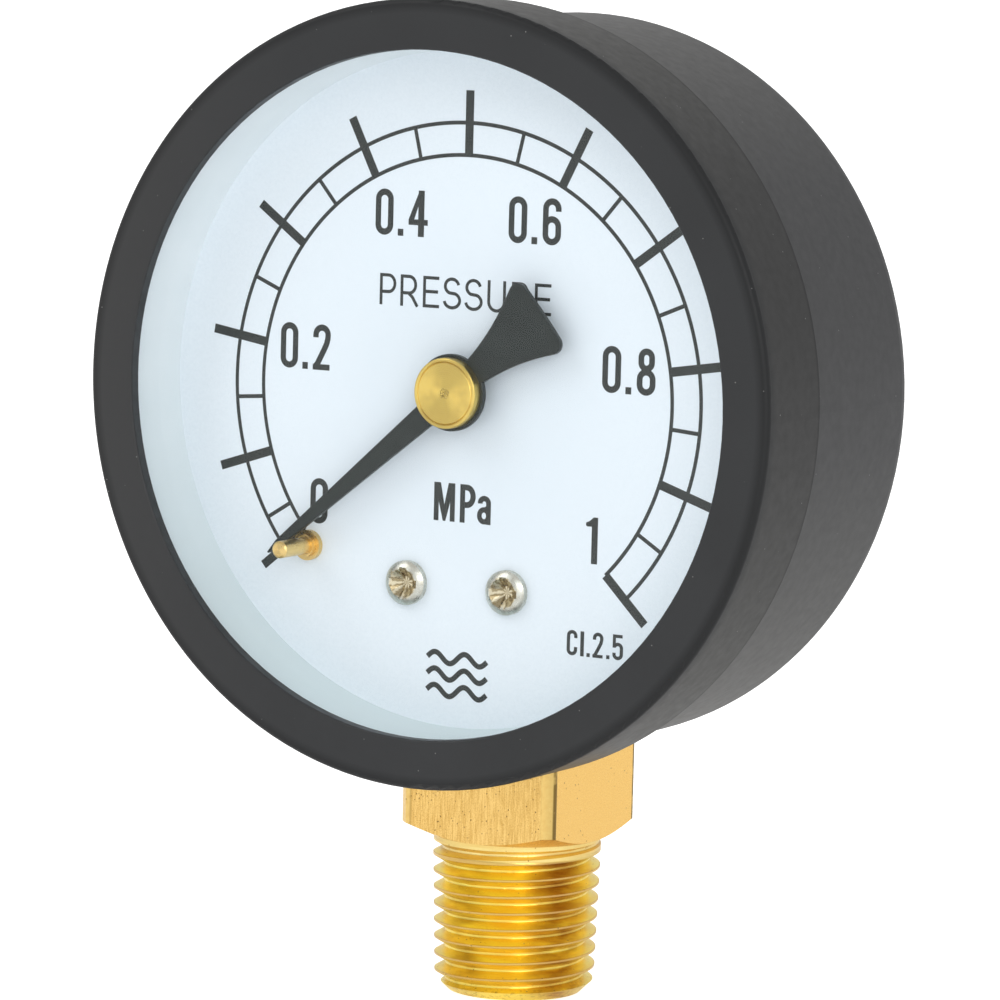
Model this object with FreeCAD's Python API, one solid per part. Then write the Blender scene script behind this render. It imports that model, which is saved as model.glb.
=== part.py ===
"""Bourdon-tube pressure gauge, 60 mm case, bottom stem with an R1/4 taper thread.

Millimetres. The origin is the centre of the stem's end face, where the pressure comes in.
+Z runs up the stem, and the dial faces -Y. Inside the case, places are given as (x, z) from
the dial's centre and as a depth, which is 0 on the dial's printed face and grows rearwards.
"""
import FreeCAD, Part
import math
import os
from FreeCAD import Vector

# Where the dial is
DIAL_HEIGHT = 48.7
STEM_DEPTH = 10.2
CENTRE = Vector(0, -STEM_DEPTH, DIAL_HEIGHT)
REARWARD = Vector(0, 1, 0)
UP = Vector(0, 0, 1)

# Case, ring and window
CASE_RADIUS = 29.15
CASE_WALL = 0.8
CASE_BACK = 19.8
CASE_RIM = -3.9
CASE_CORNER = 2.0
RING_RADIUS = 30.4
RING_FRONT = -6.75
RING_REAR = 1.8
RING_OPENING = 26.5
LIP_THICKNESS = 1.0
WINDOW_RADIUS = 28.8
WINDOW_THICKNESS = 1.0
WINDOW_BACK = RING_FRONT + LIP_THICKNESS + WINDOW_THICKNESS
SLIP = 0.05

# Dial and pointer
CENTRE_HOLE = 1.7
DIAL_RADIUS = 27.8
DIAL_THICKNESS = 0.5
SPACER_BACK_RADIUS = 26.4
SPACER_FRONT_RADIUS = 27.3
SPACER_OUTER = 27.8
DIAL_SCREWS = [(-4.55, -15.35), (4.55, -15.35)]
STOP_PIN = (-13.75, -13.15)
POINTER_ANGLE = 219.9
POINTER_FRONT = -1.9
POINTER_THICKNESS = 0.45
POINTER_DISC = 3.0
POINTER_TIP = 21.55
TAIL_END = 10.45
HUB_FRONT = -2.75
HUB_RADIUS = 2.75
HUB_NECK = 1.1
SHAFT_FRONT = HUB_FRONT + 0.4
PIN_FRONT = -4.5
PIN_RADIUS = 0.68
PIN_BOSS = 0.9
PIN_FLANGE = 1.2

# Stem: square block, collar and taper thread
BLOCK = 14.0
BLOCK_CORNER_RADIUS = 9.375
BLOCK_BOTTOM = 12.6
BLOCK_BEVEL = math.radians(23.5)
BLOCK_TOP = DIAL_HEIGHT - 17.3
SHOULDER_HEIGHT = 20.25
SHOULDER_WIDTH = 13.8
GATE_GAP = 0.2
TONGUE_TOP = DIAL_HEIGHT - 9.5
TONGUE_FRONT = 10.1
TONGUE_BACK = 14.1
THREAD_PITCH = 1.337
THREAD_RADIUS = 6.72
THREAD_DEPTH = 0.856
THREAD_TAPER = math.degrees(math.atan(1 / 32))
THREAD_TOP = 11.3
COLLAR_RADIUS = 6.7
PORT_RADIUS = 2.5
PORT_LENGTH = 8.0
BORE_RADIUS = 1.5
PORT_FILL = 3.0
END_CHAMFER = 1.0
CASE_SCREWS = [(-3.6, -24.5), (3.6, -24.5)]

# Bourdon tube, a flat oval tube round the dial's centre
TUBE_RADIUS = 21.0
TUBE_WIDTH = 3.0
TUBE_DEPTH = 7.5
TUBE_WALL = 0.4
TUBE_ROOT_ANGLE = -97.0
TUBE_SWEEP = 273.0

# Movement: two plates, a toothed sector and the pointer's pinion
REAR_PLATE = (9.1, 10.1)
FRONT_PLATE = (2.6, 3.6)
PILLARS = [(-6.0, -8.5), (10.5, -1.0), (-2.5, 5.0)]
MOVEMENT_SCREWS = [(-5.2, -11.2), (2.8, -11.2)]
MODULE = 0.2
PRESSURE_ANGLE = math.radians(25)
PINION_TEETH = 12
SECTOR_TEETH = 96
GEAR_DISTANCE = MODULE * (PINION_TEETH + SECTOR_TEETH) / 2
GEAR_BACKLASH = 0.02
SECTOR_SIDE = math.radians(135)
SECTOR_AXIS = (-GEAR_DISTANCE * math.cos(SECTOR_SIDE), -GEAR_DISTANCE * math.sin(SECTOR_SIDE))
SECTOR_DEPTH = (7.6, 8.4)
TAIL_ANGLE = -46.5
TAIL_LENGTH = 5.0
LINK_LENGTH = 8.0
LINK_ANGLE = 60.4
LINK_DEPTH = (6.6, 7.3)
LINK_PIN = 0.5
ARBOR_RADIUS = 0.8
PIVOT_RADIUS = 0.45
RUNNING = 0.04

# Hairspring
SPRING_INNER = 1.5
SPRING_STEP = 0.4
SPRING_HALF_TURNS = 11
SPRING_THICKNESS = 0.1
SPRING_DEPTH = (4.6, 5.2)
STUD_RADIUS = 0.3

# Screws, and the holes and posts for them
DIAL_SCREW = {"head_radius": 1.75, "head_height": 0.95, "shank_radius": 0.95, "edge": 0.45}
CASE_SCREW = {"head_radius": 2.6, "head_height": 1.35, "shank_radius": 1.49, "edge": 0.8}
LINK_SCREW = {"head_radius": 1.1, "head_height": 0.8, "shank_radius": 0.6}
PLATE_SCREW = {"head_radius": 1.2, "head_height": 0.8, "shank_radius": 0.64}
MOVEMENT_SCREW = {"head_radius": 1.3, "head_height": 0.8, "shank_radius": 0.69}
SLOT_WIDTH = 0.36
DIAL_SCREW_TIP = 5.0
CASE_SCREW_REACH = 5.4
TONGUE_HOLE_END = 13.4
TONGUE_SCREW_TIP = 13.0
POCKET_RADIUS = 3.1
POST_RADIUS = 1.9
POST_STUD_RADIUS = 1.0
PILLAR_RADIUS = 1.25
PILLAR_HOLE = 0.7
PLATE_MARGIN = 1.9


def polar(radius, degrees, around=(0.0, 0.0)):
    angle = math.radians(degrees)
    return (around[0] + radius * math.cos(angle), around[1] + radius * math.sin(angle))


LINK_LOWER = polar(TAIL_LENGTH, TAIL_ANGLE, SECTOR_AXIS)
LINK_UPPER = polar(LINK_LENGTH, LINK_ANGLE, LINK_LOWER)


# Basic shapes

def place(x, z, depth=0.0):
    return CENTRE + Vector(x, depth, z)


def trace(points, to_vector):
    """A closed wire. A point is (a, b), reached by a line, or a pair of points, for an arc
    through the first of them to the second."""
    edges = []
    last = to_vector(points[0])
    for point in points[1:] + points[:1]:
        if isinstance(point[0], tuple):
            middle, end = (to_vector(p) for p in point)
            edges.append(Part.Arc(last, middle, end).toShape())
        else:
            end = to_vector(point)
            if end.distanceToPoint(last) > 1e-7:
                edges.append(Part.makeLine(last, end))
        last = end
    return Part.Wire(edges)


def plate(points, front, back):
    """An outline of (x, z) points, as thick as from one depth to the other."""
    wire = trace(points, lambda p: place(p[0], p[1], front))
    return Part.Face(wire).extrude(REARWARD * (back - front))


def spun(points, around=(0.0, 0.0)):
    """A profile of (radius, depth) points, turned round a line through the dial."""
    wire = trace(points, lambda p: place(around[0] + p[0], around[1], p[1]))
    return Part.Face(wire).revolve(place(around[0], around[1]), REARWARD, 360)


def rod(centre, radius, front, back):
    return Part.makeCylinder(radius, back - front, place(centre[0], centre[1], front), REARWARD)


def ring(inner, outer, front, back, centre=(0.0, 0.0)):
    return rod(centre, outer, front, back).cut(rod(centre, inner, front, back))


def tilt(shape, degrees, around=(0.0, 0.0)):
    """Turns a shape anticlockwise, as the dial is read."""
    shape.rotate(place(around[0], around[1]), -REARWARD, degrees)
    return shape


def rounded(corners, radius, front, back):
    """A plate round a convex chain of corners, given anticlockwise, with rounded ends."""
    count = len(corners)
    points = []
    for i, corner in enumerate(corners):
        arriving = unit(corners[i - 1], corner)
        leaving = unit(corner, corners[(i + 1) % count])
        outward = unit(leaving, arriving)
        start = (corner[0] + radius * arriving[1], corner[1] - radius * arriving[0])
        middle = (corner[0] + radius * outward[0], corner[1] + radius * outward[1])
        end = (corner[0] + radius * leaving[1], corner[1] - radius * leaving[0])
        points += [start, (middle, end)]
    return plate(points, front, back)


def unit(start, end):
    length = math.dist(start, end)
    return ((end[0] - start[0]) / length, (end[1] - start[1]) / length)


def fused(first, *others):
    return first.multiFuse(list(others)).removeSplitter()


def cross_recess(centre, reach, width, front, depth):
    """The tapering cross that a screwdriver fits, round a cone."""
    bottom = front + depth
    core = spun([(0, front), (reach * 0.88, front), (reach * 0.25, bottom), (0, bottom)], centre)
    arms = []
    for angle in (0, 90):
        top = [(-reach, -width / 2), (reach, -width / 2), (reach, width / 2), (-reach, width / 2)]
        low = [(x * 0.35, z * 0.7) for x, z in top]
        wires = []
        for outline, level in ((top, front), (low, bottom)):
            shift = [(centre[0] + x, centre[1] + z) for x, z in outline]
            wires.append(trace(shift, lambda p, level=level: place(p[0], p[1], level)))
        arms.append(tilt(Part.makeLoft(wires, True, True), angle, centre))
    return core.fuse(arms)


def pan_screw(centre, seat, tip, head_radius, head_height, shank_radius, edge):
    """A pan head screw that goes rearwards: its head stands in front of its seat."""
    front = seat - head_height
    crown = head_radius - edge
    profile = [
        (0, front), (crown * 0.75, front), ((crown * 1.03, front + edge * 0.3), (head_radius, front + edge)),
        (head_radius, seat), (shank_radius, seat), (shank_radius, tip - shank_radius * 0.3),
        (shank_radius * 0.7, tip), (0, tip)]
    recess = cross_recess(centre, head_radius * 0.78, head_radius * 0.36, front, head_height * 0.85)
    return spun(profile, centre).cut(recess)


def slotted_screw(centre, seat, tip, head_radius, head_height, shank_radius):
    """A cheese head screw with one straight slot."""
    front = seat - head_height
    head = rod(centre, head_radius, front, seat)
    shank = rod(centre, shank_radius, seat, tip)
    left, right = centre[0] - head_radius, centre[0] + head_radius
    low, high = centre[1] - SLOT_WIDTH / 2, centre[1] + SLOT_WIDTH / 2
    outline = [(left, low), (right, low), (right, high), (left, high)]
    groove = plate(outline, front, front + head_height * 0.45)
    return fused(head, shank).cut(groove)


# Case

def rounded_corner(radius, depth, bend):
    """The arc that turns from a case's side, at a radius, to its back, at a depth."""
    cut = bend * (1 - math.sqrt(0.5))
    return [(radius, depth - bend), ((radius - cut, depth - cut), (radius - bend, depth))]


def case_cup():
    """Pressed cup with a pocket in its back for the two screws, and a gate for the stem below."""
    inner, inside = CASE_RADIUS - CASE_WALL, CASE_BACK - CASE_WALL
    start, (middle, end) = rounded_corner(inner, inside, CASE_CORNER - CASE_WALL)
    cup = spun([
        (CASE_RADIUS, CASE_RIM), *rounded_corner(CASE_RADIUS, CASE_BACK, CASE_CORNER),
        (0, CASE_BACK), (0, inside), end, (middle, start), (inner, CASE_RIM)])
    seat = STEM_DEPTH + BLOCK / 2
    pocket_wall = rounded(CASE_SCREWS, POCKET_RADIUS + CASE_WALL, seat, CASE_BACK - CASE_WALL / 2)
    pocket = rounded(CASE_SCREWS, POCKET_RADIUS, seat + CASE_WALL, CASE_BACK)
    cup = cup.fuse(pocket_wall.common(rod((0, 0), CASE_RADIUS - CASE_WALL / 2, seat, CASE_BACK))).cut(pocket)
    for screw in CASE_SCREWS:
        cup = cup.cut(rod(screw, CASE_SCREW["shank_radius"] + 0.1, seat, CASE_BACK))
    gate = stem_block(BLOCK / 2 + GATE_GAP, BLOCK_CORNER_RADIUS + GATE_GAP, BLOCK_BOTTOM, BLOCK_TOP)
    return cup.cut(gate).removeSplitter()


def bezel_ring():
    """Ring with a flat lip in front of the window and a skirt round the case."""
    outer, inner = RING_RADIUS, CASE_RADIUS + SLIP
    lip_back = RING_FRONT + LIP_THICKNESS
    nose, edge, rear_edge = 0.5, 0.2, 0.3
    return spun([
        (RING_OPENING + edge, RING_FRONT), (outer - nose, RING_FRONT),
        ((outer - 0.29 * nose, RING_FRONT + 0.29 * nose), (outer, RING_FRONT + nose)),
        (outer, RING_REAR - rear_edge), (outer - rear_edge, RING_REAR), (inner + 0.2, RING_REAR),
        (inner, RING_REAR - 0.2), (inner, lip_back), (RING_OPENING, lip_back),
        (RING_OPENING, RING_FRONT + edge),
        ((RING_OPENING + 0.29 * edge, RING_FRONT + 0.29 * edge), (RING_OPENING + edge, RING_FRONT))])


def window():
    disc = rod((0, 0), WINDOW_RADIUS, RING_FRONT + LIP_THICKNESS, WINDOW_BACK)
    return disc.makeChamfer(0.2, disc.Edges)


def window_gasket():
    return ring(SPACER_OUTER + 0.2, CASE_RADIUS - SLIP, WINDOW_BACK, CASE_RIM)


def spacer_ring():
    """Holds the dial and the window apart. Its inside widens towards the window."""
    return spun([
        (SPACER_FRONT_RADIUS, WINDOW_BACK), (SPACER_OUTER, WINDOW_BACK),
        (SPACER_OUTER, 0), (SPACER_BACK_RADIUS, 0)])


# Dial and pointer

def dial():
    disc = rod((0, 0), DIAL_RADIUS, 0, DIAL_THICKNESS)
    holes = [rod((0, 0), CENTRE_HOLE, 0, DIAL_THICKNESS), rod(STOP_PIN, 0.55, 0, DIAL_THICKNESS)]
    holes += [rod(screw, 1.2, 0, DIAL_THICKNESS) for screw in DIAL_SCREWS]
    return disc.cut(Part.makeCompound(holes))


def dial_screws():
    return Part.makeCompound([pan_screw(screw, 0, DIAL_SCREW_TIP, **DIAL_SCREW) for screw in DIAL_SCREWS])


def dial_posts():
    """Round posts from the stem's tongue to the dial, with a stud behind and a screw hole in front."""
    posts = []
    for screw in DIAL_SCREWS:
        post = rod(screw, POST_RADIUS, DIAL_THICKNESS, TONGUE_FRONT)
        stud = rod(screw, POST_STUD_RADIUS, TONGUE_FRONT, TONGUE_SCREW_TIP)
        hole = rod(screw, POST_STUD_RADIUS, DIAL_THICKNESS, DIAL_SCREW_TIP + 0.6)
        posts.append(fused(post, stud).cut(hole))
    return Part.makeCompound(posts)


def stop_pin():
    """Pin with a boss and a flange on the dial's face and a riveted end behind the dial."""
    chamfer, boss_front, flange_front, rivet_back = 0.14, -0.9, -0.5, DIAL_THICKNESS + 0.35
    return spun([
        (0, PIN_FRONT), (PIN_RADIUS - chamfer, PIN_FRONT), (PIN_RADIUS, PIN_FRONT + chamfer),
        (PIN_RADIUS, boss_front), (PIN_BOSS, boss_front), (PIN_BOSS, flange_front),
        (PIN_FLANGE, flange_front), (PIN_FLANGE, 0), (0.5, 0),
        (0.5, DIAL_THICKNESS), (0.9, DIAL_THICKNESS), (0.7, rivet_back), (0, rivet_back)], STOP_PIN)


def pointer():
    """Flat blade: a slim arm that narrows to its tip, a disc, and a tail that flares in two arcs."""
    back = POINTER_FRONT + POINTER_THICKNESS
    arm = plate([
        (2.0, -0.985), (20.3, -0.33), (POINTER_TIP - 0.1, -0.08),
        ((POINTER_TIP, 0.0), (POINTER_TIP - 0.1, 0.08)), (20.3, 0.33), (2.0, 0.985)], POINTER_FRONT, back)
    tail = plate([
        (-2.0, 0.93), (-2.9, 1.1), ((-6.2, 1.85), (-9.24, 3.11)), ((-10.17, 2.97), (-10.4, 2.4)),
        ((-TAIL_END, 0.0), (-10.4, -2.4)), ((-10.17, -2.97), (-9.24, -3.11)),
        ((-6.2, -1.85), (-2.9, -1.1)), (-2.0, -0.93)], POINTER_FRONT, back)
    blade = fused(rod((0, 0), POINTER_DISC, POINTER_FRONT, back), arm, tail)
    front_edges = [e for e in blade.Edges if e.BoundBox.YMax < CENTRE.y + POINTER_FRONT + 1e-4]
    blade = blade.makeChamfer(0.07, front_edges)
    return tilt(blade.cut(rod((0, 0), HUB_NECK, POINTER_FRONT, back)), POINTER_ANGLE)


def pointer_hub():
    """Turned brass cap with a neck that holds the pointer and grips the end of the pinion's shaft."""
    neck_back = POINTER_FRONT + POINTER_THICKNESS + 0.9
    face, groove = HUB_FRONT + 0.03, HUB_RADIUS - 0.33
    return spun([
        (0, SHAFT_FRONT), (0, face), (groove - 0.07, face), (groove, HUB_FRONT + 0.1),
        (groove + 0.08, HUB_FRONT), (HUB_RADIUS - 0.15, HUB_FRONT),
        ((HUB_RADIUS - 0.03, HUB_FRONT + 0.06), (HUB_RADIUS, HUB_FRONT + 0.2)),
        (HUB_RADIUS, POINTER_FRONT), (HUB_NECK, POINTER_FRONT), (HUB_NECK, neck_back),
        (PIVOT_RADIUS, neck_back), (PIVOT_RADIUS, SHAFT_FRONT)])


# Stem

def stem_block(half, corner_radius, bottom, top):
    square = Part.makeBox(2 * half, 2 * half, top - bottom, Vector(-half, -half, bottom))
    return square.common(Part.makeCylinder(corner_radius, top - bottom, Vector(0, 0, bottom)))


def thread_cutter(start, height, root, widening):
    """The groove's space along a helix that starts at +X, where its floor has the root radius."""
    helix = Part.makeLongHelix(THREAD_PITCH, height, root, widening)
    helix.translate(Vector(0, 0, start))
    reach = THREAD_DEPTH + 0.25
    half_mouth = 0.43 * THREAD_PITCH * reach / THREAD_DEPTH
    groove = [
        (root, -0.1), ((root - 0.03, 0), (root, 0.1)),
        (root + reach, half_mouth), (root + reach, -half_mouth)]
    profile = trace(groove, lambda p: Vector(p[0], 0, p[1] + start))
    return Part.Wire(helix.Edges).makePipeShell([profile], True, True)


def taper_thread():
    """Right-hand 55 degree thread in a cone that narrows downwards by 1 in 16, with a run-out above."""
    slope = math.tan(math.radians(THREAD_TAPER))
    end_radius = THREAD_RADIUS - THREAD_TOP * slope
    outside = [
        (0, 0), (end_radius - END_CHAMFER, 0), (end_radius + END_CHAMFER * slope, END_CHAMFER),
        (THREAD_RADIUS, THREAD_TOP - 0.1), (COLLAR_RADIUS, THREAD_TOP), (COLLAR_RADIUS, BLOCK_BOTTOM),
        (0, BLOCK_BOTTOM)]
    wire = trace(outside, lambda p: Vector(p[0], 0, p[1]))
    blank = Part.Face(wire).revolve(Vector(0, 0, 0), UP, 360)

    start = -THREAD_PITCH
    height = THREAD_TOP - start
    top_root = THREAD_RADIUS - THREAD_DEPTH
    full = thread_cutter(start, height, top_root - height * slope, THREAD_TAPER)
    fade_height = 0.85 * THREAD_PITCH
    widening = math.degrees(math.atan2(THREAD_DEPTH + 0.05, fade_height))
    fade = thread_cutter(THREAD_TOP, fade_height, top_root, widening)
    fade.rotate(Vector(0, 0, 0), UP, 360 * height / THREAD_PITCH)
    return blank.cut(full).cut(fade)


def square_block():
    """Block with turned corners and a bevel below, a little narrower inside the case."""
    wide = stem_block(BLOCK / 2, BLOCK_CORNER_RADIUS, BLOCK_BOTTOM, SHOULDER_HEIGHT)
    bevel_height = SHOULDER_HEIGHT - BLOCK_BOTTOM
    spread = bevel_height / math.tan(BLOCK_BEVEL)
    bevel = Part.makeCone(BLOCK / 2, BLOCK / 2 + spread, bevel_height, Vector(0, 0, BLOCK_BOTTOM))
    narrow = stem_block(BLOCK / 2, BLOCK_CORNER_RADIUS, SHOULDER_HEIGHT, BLOCK_TOP)
    corner = Vector(-SHOULDER_WIDTH / 2, -BLOCK / 2, SHOULDER_HEIGHT)
    slab = Part.makeBox(SHOULDER_WIDTH, BLOCK, BLOCK_TOP - SHOULDER_HEIGHT, corner)
    return wide.common(bevel).fuse(narrow.common(slab))


def socket():
    """The stem in one piece: thread, collar, block, and the tongue that carries the movement."""
    corner = Vector(-SHOULDER_WIDTH / 2, TONGUE_FRONT - STEM_DEPTH, BLOCK_TOP)
    tongue = Part.makeBox(SHOULDER_WIDTH, TONGUE_BACK - TONGUE_FRONT, TONGUE_TOP - BLOCK_TOP, corner)
    body = fused(taper_thread(), square_block(), tongue)
    tube_height = DIAL_HEIGHT - TUBE_RADIUS
    slot_gap = 0.06
    bores = [
        Part.makeCylinder(PORT_RADIUS, PORT_LENGTH, Vector(0, 0, 0)),
        Part.makeCylinder(BORE_RADIUS, tube_height - PORT_LENGTH, Vector(0, 0, PORT_LENGTH)),
        Part.makeCylinder(1.0, 3.0, Vector(0, 0, tube_height + 0.1), Vector(-1, 0, 0)),
        tube_length(TUBE_WIDTH + slot_gap, TUBE_DEPTH + slot_gap, TUBE_ROOT_ANGLE, 30)]
    back = STEM_DEPTH + BLOCK / 2
    bores += [rod(screw, 1.5, back - CASE_SCREW_REACH + 0.4, back) for screw in CASE_SCREWS]
    bores += [rod(screw, POST_STUD_RADIUS, TONGUE_FRONT, TONGUE_HOLE_END) for screw in DIAL_SCREWS]
    bores += [rod(screw, 0.7, TONGUE_FRONT, TONGUE_HOLE_END) for screw in MOVEMENT_SCREWS]
    for bore in bores:
        body = body.cut(bore)
    return body


def restrictor_screw():
    """Slotted plug with a fine hole that damps pulses of pressure."""
    radius = BORE_RADIUS - 0.01
    plug = Part.makeCylinder(radius, PORT_FILL, Vector(0, 0, PORT_LENGTH))
    hole = Part.makeCylinder(0.2, PORT_FILL, Vector(0, 0, PORT_LENGTH))
    groove = Part.makeBox(2 * radius, SLOT_WIDTH, 0.6, Vector(-radius, -SLOT_WIDTH / 2, PORT_LENGTH))
    return plug.cut(hole).cut(groove)


def case_screws():
    """Pan head screws that go forwards, from the pocket in the case's back into the stem's block."""
    seat = STEM_DEPTH + BLOCK / 2 + CASE_WALL
    screws = []
    for x, z in CASE_SCREWS:
        screw = pan_screw((x, z), 0, CASE_SCREW_REACH, **CASE_SCREW)
        screw.rotate(place(x, z), UP, 180)
        screw.translate(REARWARD * seat)
        screws.append(screw)
    return Part.makeCompound(screws)


# Bourdon tube

def tube_length(width, depth, start, sweep):
    """A solid flat oval bar bent round the dial's centre, clockwise from its start angle."""
    half = width / 2
    inner, outer = TUBE_RADIUS - half, TUBE_RADIUS + half
    front, back = STEM_DEPTH - (depth - width) / 2, STEM_DEPTH + (depth - width) / 2
    points = [
        (inner, front), ((TUBE_RADIUS, front - half), (outer, front)),
        (outer, back), ((TUBE_RADIUS, back + half), (inner, back))]
    wire = trace(points, lambda p: place(p[0], 0, p[1]))
    bar = Part.Face(wire).revolve(place(0, 0), REARWARD, sweep)
    return tilt(bar, start)


def bourdon_tube():
    bar = tube_length(TUBE_WIDTH, TUBE_DEPTH, TUBE_ROOT_ANGLE, TUBE_SWEEP)
    width, depth = TUBE_WIDTH - 2 * TUBE_WALL, TUBE_DEPTH - 2 * TUBE_WALL
    return bar.cut(tube_length(width, depth, TUBE_ROOT_ANGLE, TUBE_SWEEP))


def tip_piece():
    """Brass end that closes the tube, with the arm and pin that the link turns on."""
    end_angle, cap_angle = TUBE_ROOT_ANGLE - TUBE_SWEEP, 8
    front, back = STEM_DEPTH - TUBE_DEPTH / 2 - 0.25, STEM_DEPTH + TUBE_DEPTH / 2 + 0.25
    cap = ring(TUBE_RADIUS - 1.8, TUBE_RADIUS + 1.8, front, back)
    far = 2 * TUBE_RADIUS
    cap = cap.common(plate([(0, 0), polar(far, end_angle - cap_angle), polar(far, end_angle)], front, back))
    arm_depth = (7.5, 8.7)
    arm = rounded([LINK_UPPER, polar(TUBE_RADIUS - 1.0, end_angle - cap_angle / 2)], 1.2, *arm_depth)
    pin = rod(LINK_UPPER, LINK_PIN, LINK_DEPTH[0] - 0.35, arm_depth[0] + 0.1)
    return fused(cap, arm, pin)


def link_bar():
    bar = rounded([LINK_UPPER, LINK_LOWER], 1.1, *LINK_DEPTH)
    bar = bar.cut(rod(LINK_UPPER, LINK_PIN + RUNNING, *LINK_DEPTH))
    return bar.cut(rod(LINK_LOWER, LINK_SCREW["shank_radius"], *LINK_DEPTH))


def link_screw():
    """Shouldered screw and its nut, which run in the sector's slotted tail."""
    screw = slotted_screw(LINK_LOWER, LINK_DEPTH[0], SECTOR_DEPTH[1] + 0.8, **LINK_SCREW)
    nut = ring(0.6, 1.1, SECTOR_DEPTH[1] + 0.15, SECTOR_DEPTH[1] + 0.6, LINK_LOWER)
    return fused(screw, nut)


# Gears

def involute(angle):
    return math.tan(angle) - angle


def tooth(teeth, middle, around):
    """The points of one gear tooth, from its root on one side over its tip to the other side."""
    pitch = MODULE * teeth / 2
    base = pitch * math.cos(PRESSURE_ANGLE)
    root, tip = pitch - 1.25 * MODULE, pitch + MODULE
    half_pitch = math.pi / (2 * teeth) - GEAR_BACKLASH / pitch + involute(PRESSURE_ANGLE)
    first = max(base, root)
    steps = 4
    side = []
    for i in range(steps + 1):
        radius = first + (tip - first) * i / steps
        half = math.degrees(half_pitch - involute(math.acos(base / radius)))
        side.append((radius, half))
    rising = [(root, side[0][1])] if root < first else []
    rising += side
    points = [polar(radius, middle - half, around) for radius, half in rising]
    return points + [polar(radius, middle + half, around) for radius, half in reversed(rising)]


def sector_gear():
    around = SECTOR_AXIS
    step = 360 / SECTOR_TEETH
    mesh = math.degrees(SECTOR_SIDE)
    teeth_past_mesh, teeth_before_mesh = 2, 10
    centres = [mesh + step * k for k in range(-teeth_before_mesh, teeth_past_mesh + 1)]
    low, high = centres[0] - step / 2, centres[-1] + step / 2
    hub_radius, spread = 2.2, 25
    teeth = [point for centre in centres for point in tooth(SECTOR_TEETH, centre, around)]
    web = plate([polar(2.0, low - spread, around), *teeth, polar(2.0, high + spread, around)], *SECTOR_DEPTH)
    inner, outer = 3.6, 7.6
    lightening = plate([
        polar(inner, low + 7, around), polar(outer, low + 3.5, around),
        (polar(outer, (low + high) / 2, around), polar(outer, high - 3.5, around)),
        polar(inner, high - 7, around)], *SECTOR_DEPTH)
    tail = rounded([polar(TAIL_LENGTH + 1.5, TAIL_ANGLE, around), around], 1.5, *SECTOR_DEPTH)
    slot_ends = [polar(TAIL_LENGTH + 0.7, TAIL_ANGLE, around), polar(TAIL_LENGTH - 1.0, TAIL_ANGLE, around)]
    slot = rounded(slot_ends, LINK_SCREW["shank_radius"] + 0.1, *SECTOR_DEPTH)
    body = fused(web, rod(around, hub_radius, *SECTOR_DEPTH), tail).cut(lightening).cut(slot)
    return body.cut(rod(around, ARBOR_RADIUS, *SECTOR_DEPTH))


def arbor_between_plates(centre, radius):
    """A shaft with a fine pivot in each plate."""
    front, back = FRONT_PLATE[1] + 0.05, REAR_PLATE[0] - 0.05
    return fused(rod(centre, radius, front, back), rod(centre, PIVOT_RADIUS, FRONT_PLATE[0], REAR_PLATE[1]))


def sector_arbor():
    return arbor_between_plates(SECTOR_AXIS, ARBOR_RADIUS)


def pinion_arbor():
    step = 360 / PINION_TEETH
    mesh = math.degrees(SECTOR_SIDE) + 180
    centres = [mesh + step * (k + 0.5) for k in range(PINION_TEETH)]
    teeth = [point for centre in centres for point in tooth(PINION_TEETH, centre, (0.0, 0.0))]
    pinion = plate(teeth, SECTOR_DEPTH[0] - 0.4, SECTOR_DEPTH[1] + 0.4)
    long_pivot = rod((0, 0), PIVOT_RADIUS, SHAFT_FRONT, FRONT_PLATE[1] + 0.5)
    return fused(arbor_between_plates((0.0, 0.0), ARBOR_RADIUS), pinion, long_pivot)


# Plates and their screws

def plate_outline(extra, front, back):
    """A movement plate: round the two shafts, the three pillars and any further corners."""
    corners = [PILLARS[0], *extra, SECTOR_AXIS, PILLARS[1], PILLARS[2]]
    body = rounded(corners, PLATE_MARGIN, front, back)
    for centre in ((0.0, 0.0), SECTOR_AXIS):
        body = body.cut(rod(centre, PIVOT_RADIUS + RUNNING, front, back))
    return body


def rear_plate():
    body = plate_outline(MOVEMENT_SCREWS, *REAR_PLATE)
    for screw in MOVEMENT_SCREWS:
        body = body.cut(rod(screw, MOVEMENT_SCREW["shank_radius"] + 0.1, *REAR_PLATE))
    for pillar in PILLARS:
        body = body.cut(rod(pillar, PILLAR_HOLE, *REAR_PLATE))
    return body


def front_plate():
    body = plate_outline([], *FRONT_PLATE)
    for pillar in PILLARS:
        body = body.cut(rod(pillar, PILLAR_HOLE, *FRONT_PLATE))
    return body


def movement_pillars():
    """Pillars riveted in the rear plate, with a screw hole in front."""
    pillars = []
    for pillar in PILLARS:
        body = rod(pillar, PILLAR_RADIUS, FRONT_PLATE[1], REAR_PLATE[0])
        rivet = rod(pillar, PILLAR_HOLE - 0.01, *REAR_PLATE)
        hole = rod(pillar, PLATE_SCREW["shank_radius"] + 0.01, FRONT_PLATE[1], FRONT_PLATE[1] + 2.6)
        pillars.append(fused(body, rivet).cut(hole))
    return Part.makeCompound(pillars)


def plate_screws():
    tip = FRONT_PLATE[1] + 2.3
    return Part.makeCompound([
        slotted_screw(pillar, FRONT_PLATE[0], tip, **PLATE_SCREW) for pillar in PILLARS])


def movement_screws():
    return Part.makeCompound([
        slotted_screw(screw, REAR_PLATE[0], TONGUE_SCREW_TIP, **MOVEMENT_SCREW) for screw in MOVEMENT_SCREWS])


# Hairspring

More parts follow.
